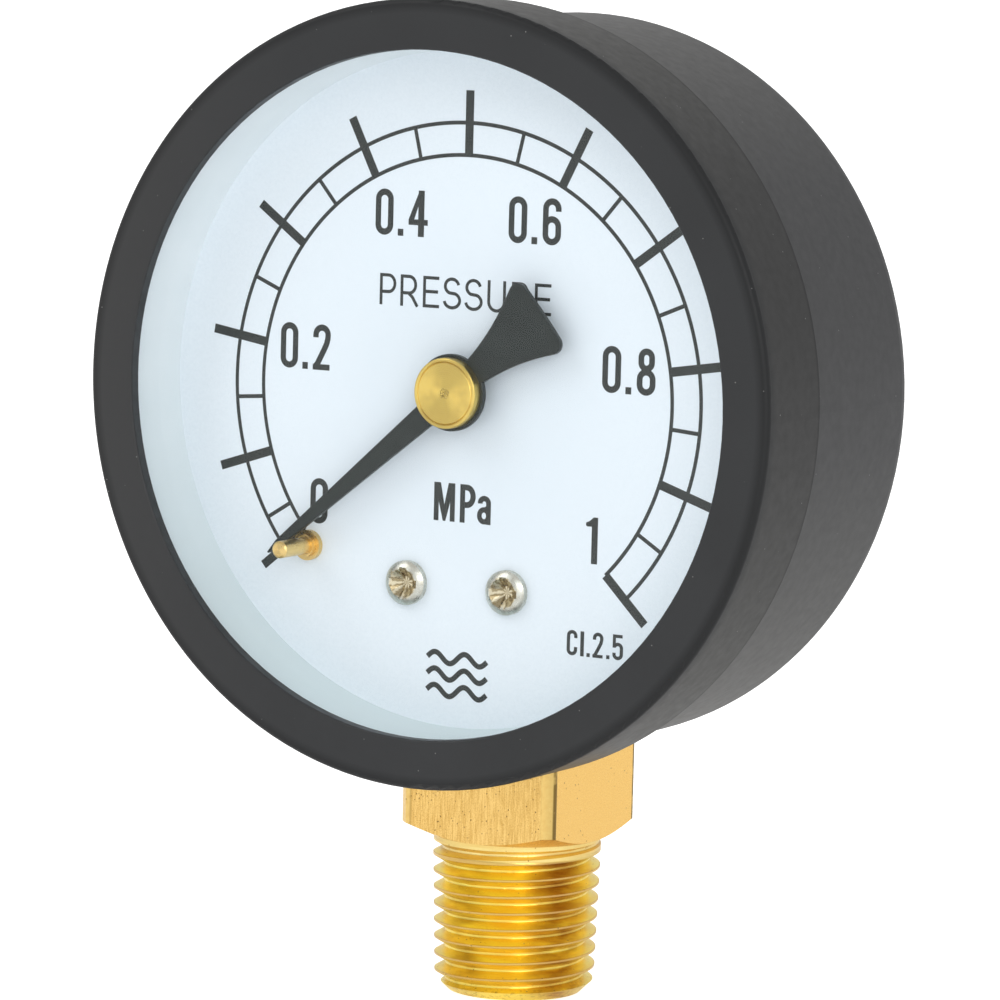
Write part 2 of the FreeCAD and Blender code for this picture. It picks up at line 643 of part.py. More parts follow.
def half_turn(index, extra):
    """Three points of one half circle of the spiral. Odd half circles are centred to the right."""
    growth = SPRING_STEP / 2
    side = 1 - 2 * (index % 2)
    middle = growth * (index % 2)
    reach = SPRING_INNER + growth * index + extra
    return [(middle + side * reach, 0.0), (middle, side * reach), (middle - side * reach, 0.0)]


def hairspring():
    """A flat strip wound in half circles, so that it ends to the left of the pinion's shaft."""
    inner = [half_turn(i, 0.0) for i in range(SPRING_HALF_TURNS)]
    outer = [half_turn(i, SPRING_THICKNESS) for i in range(SPRING_HALF_TURNS)]
    points = [inner[0][0]]
    points += [(middle, end) for _, middle, end in inner]
    points.append(outer[-1][2])
    points += [(middle, start) for start, middle, _ in reversed(outer)]
    return plate(points, *SPRING_DEPTH)


def hairspring_collet():
    """Brass collar on the pinion's shaft that holds the spring's inner end."""
    return ring(ARBOR_RADIUS, SPRING_INNER, SPRING_DEPTH[0] - 0.3, SPRING_DEPTH[1] + 0.3)


def hairspring_stud():
    """Post on the rear plate that the spring's outer end is soldered to."""
    end, _ = half_turn(SPRING_HALF_TURNS - 1, SPRING_THICKNESS / 2)[2]
    return rod((end, -STUD_RADIUS), STUD_RADIUS, SPRING_DEPTH[0] - 0.4, REAR_PLATE[0])


def save(name, shape):
    shape.exportStep(f"parts/{name}.step")
    valid = "valid" if shape.isValid() else "NOT VALID"
    print(f"{name}: {len(shape.Solids)} solids, {shape.Volume:.2f} mm3, {valid}")


def main():
    os.makedirs("parts", exist_ok=True)
    pieces = {
        "case_cup": case_cup(),
        "bezel_ring": bezel_ring(),
        "window": window(),
        "window_gasket": window_gasket(),
        "spacer_ring": spacer_ring(),
        "dial": dial(),
        "dial_screws": dial_screws(),
        "dial_posts": dial_posts(),
        "stop_pin": stop_pin(),
        "pointer": pointer(),
        "pointer_hub": pointer_hub(),
        "socket": socket(),
        "restrictor_screw": restrictor_screw(),
        "case_screws": case_screws(),
        "bourdon_tube": bourdon_tube(),
        "tip_piece": tip_piece(),
        "link_bar": link_bar(),
        "link_screw": link_screw(),
        "sector_gear": sector_gear(),
        "sector_arbor": sector_arbor(),
        "pinion_arbor": pinion_arbor(),
        "rear_plate": rear_plate(),
        "front_plate": front_plate(),
        "movement_pillars": movement_pillars(),
        "plate_screws": plate_screws(),
        "movement_screws": movement_screws(),
        "hairspring": hairspring(),
        "hairspring_collet": hairspring_collet(),
        "hairspring_stud": hairspring_stud(),
    }
    for name, shape in pieces.items():
        save(name, shape)


main()
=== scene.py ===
"""Looks, printing, lights and camera for the pressure gauge.

Lengths are in millimetres until a mesh is made.
"""

import math

import bmesh
import bpy
from mathutils import Matrix, Vector
from mathutils.geometry import delaunay_2d_cdt


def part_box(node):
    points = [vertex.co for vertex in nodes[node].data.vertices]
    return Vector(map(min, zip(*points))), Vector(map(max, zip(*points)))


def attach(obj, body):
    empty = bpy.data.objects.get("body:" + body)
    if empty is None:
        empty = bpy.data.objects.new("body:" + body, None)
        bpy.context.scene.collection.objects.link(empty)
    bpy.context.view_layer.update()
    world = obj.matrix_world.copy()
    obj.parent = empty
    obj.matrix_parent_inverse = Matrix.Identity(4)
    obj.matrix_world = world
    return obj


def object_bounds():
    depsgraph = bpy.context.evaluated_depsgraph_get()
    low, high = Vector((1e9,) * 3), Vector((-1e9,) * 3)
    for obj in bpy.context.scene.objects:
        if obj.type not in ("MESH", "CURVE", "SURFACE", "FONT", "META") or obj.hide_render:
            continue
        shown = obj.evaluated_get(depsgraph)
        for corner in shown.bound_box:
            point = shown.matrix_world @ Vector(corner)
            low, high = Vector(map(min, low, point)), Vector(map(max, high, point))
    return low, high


MM = 0.001

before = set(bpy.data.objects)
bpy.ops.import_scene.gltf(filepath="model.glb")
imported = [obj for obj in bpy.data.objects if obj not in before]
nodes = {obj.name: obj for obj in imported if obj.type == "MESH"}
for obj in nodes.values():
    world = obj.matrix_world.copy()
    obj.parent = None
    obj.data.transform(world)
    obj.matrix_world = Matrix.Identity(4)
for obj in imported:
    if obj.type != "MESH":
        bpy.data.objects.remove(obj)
cad_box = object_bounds()

# The middle of the dial's face. The printing sits slightly off it.
dial_low, dial_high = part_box("dial")
DIAL = Vector(((dial_low.x + dial_high.x) / 2, dial_low.y, (dial_low.z + dial_high.z) / 2)) / MM
PRINT_OFFSET = Vector((0.1, 0, -0.2))
PRINT_CENTRE = DIAL + PRINT_OFFSET

# The ring's front and rear, measured rearwards from the dial's face
ring_low, ring_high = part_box("bezel_ring")
RING_RADIUS = (ring_high.x - ring_low.x) / 2 / MM
RING_FRONT = ring_low.y / MM - DIAL.y
RING_REAR = ring_high.y / MM - DIAL.y

# The two dial screws lie side by side, so their common box is as tall as one head.
screw_low, screw_high = (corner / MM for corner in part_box("dial_screws"))
screw_radius = (screw_high.z - screw_low.z) / 2
screw_places = (screw_low.x + screw_radius, screw_high.x - screw_radius)
SCREW_SPOTS = [(x, screw_low.z + screw_radius) for x in screw_places]


# Flat shapes, as (x, z) points from the dial's centre

def arc(x, z, radius, start, end, tall=None):
    """Points along part of an ellipse. Degrees run anticlockwise from the right."""
    letter_size = 5
    step = 12 if radius < letter_size else 2
    count = max(2, math.ceil(abs(end - start) / step))
    tall = radius if tall is None else tall
    points = []
    for i in range(count + 1):
        angle = math.radians(start + (end - start) * i / count)
        points.append((x + radius * math.cos(angle), z + tall * math.sin(angle)))
    return points


def stroke(points, width, closed=False):
    """Four-sided pieces along a line, mitred where it bends."""
    sharpest = 0.3
    line = [Vector(p) for p in points]
    count = len(line)
    left, right = [], []
    for i, point in enumerate(line):
        before = point - line[i - 1] if closed or i > 0 else line[1] - line[0]
        after = line[(i + 1) % count] - point if closed or i < count - 1 else before
        before, after = before.normalized(), after.normalized()
        across = Vector((-(before.y + after.y), before.x + after.x)).normalized()
        reach = width / 2 / max(sharpest, across.dot(Vector((-before.y, before.x))))
        left.append(point + across * reach)
        right.append(point - across * reach)
    spans = range(count if closed else count - 1)
    return [[right[i], right[(i + 1) % count], left[(i + 1) % count], left[i]] for i in spans]


def bar(x0, z0, x1, z1):
    """An upright rectangle between two opposite corners."""
    return [Vector((x0, z0)), Vector((x1, z0)), Vector((x1, z1)), Vector((x0, z1))]


def printed(name, shapes):
    """One thin closed layer in the outline of all the shapes together, on the dial's face."""
    proud, sunk = 0.015, 0.05
    same_point = 1e-5
    points, faces = [], []
    for shape in shapes:
        area = sum(a.x * b.y - b.x * a.y for a, b in zip(shape, shape[1:] + shape[:1]))
        faces.append(list(range(len(points), len(points) + len(shape))))
        points += shape if area > 0 else shape[::-1]
    found, _, triangles, _, _, sources = delaunay_2d_cdt(points, [], faces, 0, same_point)
    mesh = bmesh.new()
    fronts = [mesh.verts.new((PRINT_CENTRE + Vector((p.x, -proud, p.y))) * MM) for p in found]
    for triangle, source in zip(triangles, sources):
        if source:
            mesh.faces.new([fronts[i] for i in triangle])
    for vert in [v for v in mesh.verts if not v.link_faces]:
        mesh.verts.remove(vert)
    walls = bmesh.ops.extrude_face_region(mesh, geom=mesh.faces[:])["geom"]
    backs = [item for item in walls if isinstance(item, bmesh.types.BMVert)]
    bmesh.ops.translate(mesh, verts=backs, vec=Vector((0, proud + sunk, 0)) * MM)
    bmesh.ops.recalc_face_normals(mesh, faces=mesh.faces[:])
    piece = bpy.data.objects.new(name, bpy.data.meshes.new(name))
    mesh.to_mesh(piece.data)
    mesh.free()
    bpy.context.scene.collection.objects.link(piece)
    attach(piece, "gauge")


# Lettering, each glyph drawn from its own lower left corner

def stadium(width, low, high, weight):
    """An upright ring with round ends."""
    radius = (width - weight) / 2
    middle = width / 2
    points = arc(middle, high - width / 2, radius, 180, 0)
    return points + arc(middle, low + width / 2, radius, 0, -180)


def bold_glyphs():
    """Narrow figures 3.6 tall with strokes of even weight, and the letters that go with them."""
    weight, tall, wide = 0.49, 3.6, 1.62
    middle = wide / 2
    radius = middle - weight / 2
    top, low = tall - middle, middle
    right, left = middle + radius, middle - radius
    two = [(left, 2.56)] + arc(middle, top, radius, 180, 0)
    two += [(right - 0.02, 2.5), (right - 0.12, 2.1), (right - 0.3, 1.72), (0.33, 0.3)]
    five = arc(middle, 1.66, radius, 150, 0) + arc(middle, low, radius, 0, -180) + [(left, 1.0)]
    six = [(right, 2.6)] + arc(middle, top, radius, 0, 180) + arc(middle, low, radius, 180, 360)
    six += arc(middle, 1.42, radius, 0, 165)
    letter_c = [(right, 2.5)] + arc(middle, top, radius, 0, 180)
    letter_c += arc(middle, low, radius, 180, 360) + [(right, 1.22)]
    return {
        "0": stroke(stadium(wide, 0, tall, weight), weight, True),
        "1": [bar(0.53, 0, 1.06, 2.9), [Vector(p) for p in (
            (0.1, 2.87), (1.06, 2.87), (1.06, 3.6), (0.68, 3.6), (0.34, 3.3), (0.02, 3.17), (0.0, 2.98))]],
        "2": stroke(two, weight) + [bar(0, 0, 1.56, 0.46), [Vector(p) for p in (
            (0, 0), (0.5, 0.3), (0.2, 0.6), (0, 0.36))]],
        "4": [bar(0.87, 0, 1.41, 3.6), bar(0, 0.9, 1.74, 1.34), [Vector(p) for p in (
            (0, 1.32), (0.5, 1.32), (0.87, 2.38), (1.2, 3.0), (1.2, 3.6), (0.96, 3.6))]],
        "5": stroke(five, weight) + [bar(0.02, 3.14, 1.5, 3.6), bar(0.02, 1.72, 0.48, 3.6)],
        "6": stroke(six, weight),
        "8": stroke([(x + 0.1, z) for x, z in stadium(wide - 0.2, 1.8, 3.6, weight)], weight, True)
        + stroke(stadium(wide, 0, 2.03, weight), weight, True),
        ".": [bar(0, 0, 0.5, 0.54)],
        "C": stroke(letter_c, weight),
        "l": [bar(0, 0, 0.55, 3.55)]}


def thin_glyphs():
    """Light capitals 2.45 tall."""
    weight, tall, wide = 0.25, 2.45, 1.5
    edge = weight / 2
    top = tall - edge
    stem = [bar(0, 0, weight, tall)]
    bowl_height = (top - 1.03) / 2
    bowl = [(edge, top)] + arc(0.8, top - bowl_height, wide - edge - 0.8, 90, -90, bowl_height)
    bowl.append((edge, 1.03))
    rest = [bar(0, z, reach, z + weight) for z, reach in ((0, 1.48), (1.13, 1.36), (top - edge, 1.45))]
    upper = arc(0.8, 1.78, 0.61, 12, 248, 0.56)
    lower = arc(0.82, 0.68, 0.7, 68, -172, 0.57)
    cup = [(edge, tall)] + arc(0.815, 0.81, 0.7, 180, 360) + [(1.515, tall)]
    return {
        "P": stem + stroke(bowl, weight),
        "R": stem + stroke(bowl, weight) + stroke([(0.72, 1.03), (1.1, 0.72), (1.56, 0.0)], weight),
        "E": stem + rest,
        "S": stroke(upper + lower, weight),
        "U": stroke(cup, weight)}


def unit_glyphs():
    """Heavy narrow letters 3 tall, for the unit."""
    left = [Vector(p) for p in ((0, 3.0), (0.59, 3.0), (0.95, 1.28), (1.04, 0), (0.84, 0), (0.3, 2.0))]
    right = [Vector((1.9 - p.x, p.y)) for p in left]
    bowl = [(0.2, 2.77)] + arc(0.62, 2.085, 0.55, 90, -90, 0.685) + [(0.2, 1.4)]
    hook = [(0.27, 1.62)] + arc(0.64, 1.66, 0.38, 170, 0, 0.37) + [(1.02, 0.0)]
    ring = arc(0.62, 0.68, 0.41, 0, 345, 0.47)
    return {
        "M": [bar(0, 0, 0.43, 3.0), bar(1.47, 0, 1.9, 3.0), left, right],
        "P": [bar(0, 0, 0.44, 3.0)] + stroke(bowl, 0.46),
        "a": stroke(hook, 0.42) + stroke(ring, 0.41, True) + stroke([(0.4, 1.0), (1.0, 1.38)], 0.3)}


def lettered(glyphs, letters, x, z, scale=(1.0, 1.0)):
    """A line of glyphs with its lower left corner at (x, z). Each letter comes with its distance along."""
    shapes = []
    for letter, along in letters:
        for shape in glyphs[letter]:
            shapes.append([Vector((x + along + p.x * scale[0], z + p.y * scale[1])) for p in shape])
    return shapes


def dial_scale():
    """Two arcs from the zero mark to full scale, eleven long marks and the short ones between them."""
    inner, outer, tick_end = 18.5, 21.0, 23.5
    first, sweep, divisions = 225, -270, 10
    zero_mark, first_short = 219.4, 211.8
    arc_width, long_width, short_width = 0.3, 0.72, 0.31
    shapes = stroke(arc(0, 0, inner, zero_mark, first + sweep), arc_width)
    shapes += stroke(arc(0, 0, outer, zero_mark, first + sweep), arc_width)
    for i in range(2 * divisions + 1):
        degrees = {0: zero_mark, 1: first_short}.get(i, first + sweep * i / (2 * divisions))
        angle = math.radians(degrees)
        way = Vector((math.cos(angle), math.sin(angle)))
        if i % 2 == 0:
            shapes += stroke([way * inner, way * tick_end], long_width)
        else:
            shapes += stroke([way * inner, way * outer], short_width)
    return shapes


def dial_numbers():
    """The six figures of the scale, each placed by its lower left corner."""
    bold = bold_glyphs()
    shapes = lettered(bold, [("0", 0)], -13.86, -11.2)
    shapes += lettered(bold, [("1", 0)], 11.25, -12.3)
    for figure, x, z in (("2", -16.93, 0.97), ("4", -8.36, 11.95), ("6", 3.72, 11.95), ("8", 12.34, 0.97)):
        shapes += lettered(bold, [("0", 0), (".", 2.06), (figure, 3.03)], x, z)
    return shapes


def dial_words():
    """The word above the pointer's hub, the unit below it and the accuracy class at the lower right."""
    capitals = zip("PRESSURE", (0, 1.9, 3.96, 5.78, 7.73, 9.8, 11.97, 14.03))
    shapes = lettered(thin_glyphs(), capitals, -7.83, 6.5)
    shapes += lettered(unit_glyphs(), [("M", 0), ("P", 2.37), ("a", 3.93)], -2.43, -10.05)
    accuracy = [("C", 0), ("l", 1.2), (".", 1.77), ("2", 2.3), (".", 3.51), ("5", 4.05)]
    shapes += lettered(bold_glyphs(), accuracy, 9.83, -19.52, (0.57, 0.545))
    return shapes


def fluid_sign():
    """Three short waves, the plain sign for a fluid."""
    swing, half_wave, width = 0.42, 1.35, 0.42
    along = [x / 10 for x in range(-27, 28)]
    shapes = []
    for z in (-20.8, -22.1, -23.4):
        wave = [(x, z + swing * math.sin(x * math.pi / half_wave)) for x in along]
        shapes += stroke(wave, width)
    return shapes


# Materials

class Look:
    """A material with one Principled shader, and the nodes that feed it. Sizes are in millimetres."""

    # The colour sockets of a mix node share their names with its other sockets, so they go by number.
    MIX_FACTOR, MIX_FIRST, MIX_SECOND = 0, 6, 7
    MIX_RESULT = 2

    def __init__(self, name, **values):
        self.material = bpy.data.materials.new(name)
        self.material.use_nodes = True
        self.tree = self.material.node_tree
        self.shader = self.tree.nodes["Principled BSDF"]
        for socket, value in values.items():
            self.shader.inputs[socket.replace("_", " ")].default_value = value
        self.bumped = None

    def add(self, kind, inputs, **settings):
        """A new node. Each input is linked to another node's output, or set to a value."""
        made = self.tree.nodes.new(kind)
        for key, value in settings.items():
            setattr(made, key, value)
        for key, value in inputs.items():
            if isinstance(value, bpy.types.NodeSocket):
                self.tree.links.new(value, made.inputs[key])
            else:
                made.inputs[key].default_value = value
        return made

    def feed(self, socket, value):
        self.tree.links.new(value, self.shader.inputs[socket])

    def place(self, stretch=(1, 1, 1)):
        """The piece's own coordinates in millimetres, divided by the stretch along each axis."""
        own = self.add("ShaderNodeTexCoord", {}).outputs["Object"]
        scale = [1 / MM / s for s in stretch]
        return self.add("ShaderNodeMapping", {"Vector": own, "Scale": scale}).outputs["Vector"]

    def noise(self, size, detail=2.0, stretch=(1, 1, 1)):
        """Soft random values from 0 to 1, in features of about one size."""
        inputs = {"Vector": self.place(stretch), "Scale": 1 / size, "Detail": detail}
        return self.add("ShaderNodeTexNoise", inputs, noise_dimensions="4D").outputs["Fac"]

    def cells(self, size):
        """The distance from scattered points, 0 at each point."""
        inputs = {"Vector": self.place(), "Scale": 1 / size}
        return self.add("ShaderNodeTexVoronoi", inputs).outputs["Distance"]

    def span(self, value, low, high, start=0.0, end=1.0):
        """start where the value is low, end where it is high, and even between them."""
        inputs = {"Value": value, "From Min": low, "From Max": high, "To Min": start, "To Max": end}
        return self.add("ShaderNodeMapRange", inputs).outputs["Result"]

    def math(self, operation, first, second=0.0):
        made = self.add("ShaderNodeMath", {0: first, 1: second}, operation=operation)
        return made.outputs["Value"]

    def part(self, axis):
        """One of the piece's own coordinates, in millimetres."""
        return self.add("ShaderNodeSeparateXYZ", {"Vector": self.place()}).outputs[axis]

    def mix(self, factor, first, second):
        """The first colour where the factor is 0, and the second where it is 1."""
        inputs = {self.MIX_FACTOR: factor}
        for key, colour in ((self.MIX_FIRST, first), (self.MIX_SECOND, second)):
            inputs[key] = (*colour, 1) if isinstance(colour, tuple) else colour
        return self.add("ShaderNodeMix", inputs, data_type="RGBA").outputs[self.MIX_RESULT]

    def times(self, *values):
        product = values[0]
        for value in values[1:]:
            product = self.math("MULTIPLY", product, value)
        return product

    def lateral(self, centre):
        """How far a place lies to the right of a line that goes rearwards, and how far above it."""
        across = self.math("SUBTRACT", self.part("X"), centre[0])
        up = self.math("SUBTRACT", self.part("Z"), centre[1])
        return across, up

    def radius(self, centre):
        """The distance from a line that goes rearwards."""
        across, up = self.lateral(centre)
        return self.math("SQRT", self.math("ADD", self.times(across, across), self.times(up, up)))

    def bump(self, height, depth):
        """Raises the surface by up to a depth where the height is 1, on top of any bumps so far."""
        inputs = {"Height": height, "Distance": depth * MM, "Strength": 1.0}
        if self.bumped is not None:
            inputs["Normal"] = self.bumped
        self.bumped = self.add("ShaderNodeBump", inputs).outputs["Normal"]
        self.feed("Normal", self.bumped)


def toned(shade, factor):
    """The same colour, darker or lighter."""
    return tuple(part * factor for part in shade)


def black_paint(name, shade, painted_side_shade, painted_top_bottom_light, painted_lighting, gloss, shine, painted_shade_lines=()):
    """Baked satin paint: a faint orange peel, dust specks, a handled haze, painted light and shade, and
    painted shade lines at edges.

    A painted shade line runs round the ring's outside. It is given by its front and rear, measured rearwards
    from the dial's face, how softly it ends and how strong it is.
    """
    look = Look(name, Specular_IOR_Level=shine)
    haze = look.span(look.noise(9, 3), 0.35, 0.7)
    tone = look.mix(haze, shade, toned(shade, 1.2))
    across, up = look.lateral((DIAL.x, DIAL.z))
    depth = look.math("SUBTRACT", look.part("Y"), DIAL.y)
    # Painted shade: places behind the ring's front get a colour of their own, darker on the ring.
    on_side = look.span(depth, RING_FRONT + 0.5, RING_FRONT + 1.5)
    tone = look.mix(on_side, tone, painted_side_shade)
    # Painted light: lighter near the top and the bottom, behind the ring's front.
    near_top = look.span(up, 17, 29, 0, 0.7)
    near_bottom = look.span(up, -3, -24)
    painted_light_cover = look.math("MAXIMUM", near_top, near_bottom)
    tone = look.mix(look.times(painted_light_cover, on_side), tone, painted_top_bottom_light)
    # Painted light: lighter towards the left.
    near_left = look.span(across, -12, -29)
    tone = look.mix(near_left, tone, painted_lighting)
    # Painted shade: darker lines round the ring's outside near its edges.
    for front, rear, soft, strength in painted_shade_lines:
        radius = look.radius((DIAL.x, DIAL.z))
        outside = look.span(radius, RING_RADIUS - 1.1, RING_RADIUS - 0.4, 0, strength)
        behind_front = look.span(depth, front - soft, front)
        before_rear = look.span(depth, rear + soft, rear)
        line = look.times(behind_front, before_rear, outside)
        tone = look.mix(line, tone, toned(shade, 0.1))
        shine = look.math("MULTIPLY", shine, look.span(line, 0, 1, 1, 0.4))
    if painted_shade_lines:
        look.feed("Specular IOR Level", shine)
    dust_shade = (0.17, 0.17, 0.165)
    dust = look.times(look.span(look.cells(1.3), 0.05, 0.03), look.span(look.noise(4), 0.42, 0.52))
    look.feed("Base Color", look.mix(dust, tone, dust_shade))
    look.feed("Roughness", look.span(look.noise(0.8, 4), 0.3, 0.75, gloss - 0.04, gloss + 0.05))
    look.bump(look.noise(0.4, 3), 0.0015)
    look.bump(dust, 0.02)
    return look.material


def dial_paint():
    """White paint with a cool tint, with painted light towards the dial's edge."""
    painted_edge_light, grain_shade = (0.855, 0.935, 1.0), (0.74, 0.83, 0.9)
    look = Look("dial_paint", Roughness=0.38)
    mottle = look.span(look.noise(6, 4), 0.3, 0.7)
    grain = look.span(look.noise(0.25, 2), 0.35, 0.65)
    tone = look.mix(mottle, (0.735, 0.825, 0.9), (0.75, 0.835, 0.905))
    # Painted light: lighter towards the dial's edge.
    tone = look.mix(look.span(look.radius((DIAL.x, DIAL.z)), 8, 26), tone, painted_edge_light)
    look.feed("Base Color", look.mix(look.math("MULTIPLY", grain, 0.3), tone, grain_shade))
    look.bump(look.noise(0.3, 2), 0.001)
    return look.material


def ink():
    """Printing ink, faintly patchy."""
    look = Look("dial_ink", Roughness=0.45)
    patch = look.span(look.noise(0.9, 3), 0.35, 0.7)
    look.feed("Base Color", look.mix(patch, (0.012, 0.017, 0.016), (0.022, 0.027, 0.026)))
    look.bump(look.noise(0.12, 2), 0.002)
    return look.material


def pointer_paint():
    """Thin black paint with a green tint."""
    look = Look("pointer_paint", Roughness=0.45, Specular_IOR_Level=0.35)
    patch = look.span(look.noise(1.6, 3), 0.35, 0.7)
    look.feed("Base Color", look.mix(patch, (0.009, 0.014, 0.013), (0.015, 0.021, 0.02)))
    look.bump(look.noise(0.15, 2), 0.003)
    return look.material


def window_sheet():
    """Clear sheet: almost all light goes through, and a little is mirrored."""
    look = Look("window_sheet", Base_Color=(0.94, 1.0, 0.98, 1), Metallic=1.0, Alpha=0.012)
    look.feed("Roughness", look.span(look.noise(7, 4), 0.3, 0.75, 0.02, 0.09))
    return look.material


def white_plastic():
    """Moulded plastic, with painted shade towards the bottom of the dial."""
    painted_low_shade = (0.65, 0.75, 0.775)
    look = Look("spacer_plastic", Roughness=0.5)
    patch = look.span(look.noise(3, 3), 0.3, 0.7)
    clean = look.mix(patch, (0.755, 0.83, 0.865), (0.79, 0.86, 0.895))
    # Painted shade: darker towards the bottom of the dial.
    low = look.span(look.part("Z"), DIAL.z + 5, DIAL.z - 22)
    look.feed("Base Color", look.mix(low, clean, painted_low_shade))
    look.bump(look.noise(0.3, 2), 0.002)
    return look.material


def rubber():
    """Dull black rubber."""
    look = Look("gasket_rubber", Roughness=0.8)
    patch = look.span(look.noise(0.8, 4), 0.3, 0.7)
    look.feed("Base Color", look.mix(patch, (0.02, 0.02, 0.02), (0.04, 0.04, 0.042)))
    look.bump(look.noise(0.2, 3), 0.01)
    return look.material


def brushed_metal(name, light, dark, rough, stretch):
    """Metal with fine lines along one axis and some tarnish."""
    look = Look(name, Metallic=1.0)
    lines = look.noise(0.12, 3, stretch)
    tarnish = look.span(look.noise(2.2, 4), 0.42, 0.72)
    look.feed("Base Color", look.mix(tarnish, light, dark))
    look.feed("Roughness", look.span(lines, 0.3, 0.7, rough - 0.07, rough + 0.1))
    look.bump(lines, 0.004)
    return look.material


def turned_brass(name, centre, light, dark, rough, mark_radius=0.0):
    """Brass faced in a lathe: fine rings, a painted sheen in two fans, and a stippled mark in the middle."""
    ring_spacing = 0.16
    look = Look(name, Metallic=1.0)
    radius = look.radius(centre)
    across, up = look.lateral(centre)
    wobble = look.times(look.noise(0.8, 2), 0.05)
    rings = look.math("SINE", look.times(look.math("ADD", radius, wobble), 2 * math.pi / ring_spacing))
    tarnish = look.times(look.span(look.noise(0.9, 4), 0.45, 0.75), 0.6)
    # Painted sheen: lighter and darker in two fans round the middle.
    slope = look.times(look.math("ARCTAN2", up, across), 2.0)
    painted_fan_sheen = look.span(look.math("COSINE", look.math("ADD", slope, look.noise(0.5, 2))), -0.6, 1.0)
    tone = look.mix(painted_fan_sheen, toned(light, 0.72), light)
    tone = look.mix(tarnish, tone, dark)
    mark = look.span(radius, mark_radius, mark_radius - 0.06)
    stipple = look.times(mark, look.span(look.noise(0.12, 3), 0.42, 0.6))
    look.feed("Base Color", look.mix(look.times(stipple, 0.6), tone, toned(dark, 0.5)))
    look.feed("Roughness", look.span(look.noise(0.35, 3), 0.3, 0.7, rough - 0.06, rough + 0.08))
    look.bump(look.span(rings, -1, 1), 0.004)
    look.bump(look.noise(0.2, 3), 0.004)
    look.bump(stipple, -0.04)
    return look.material


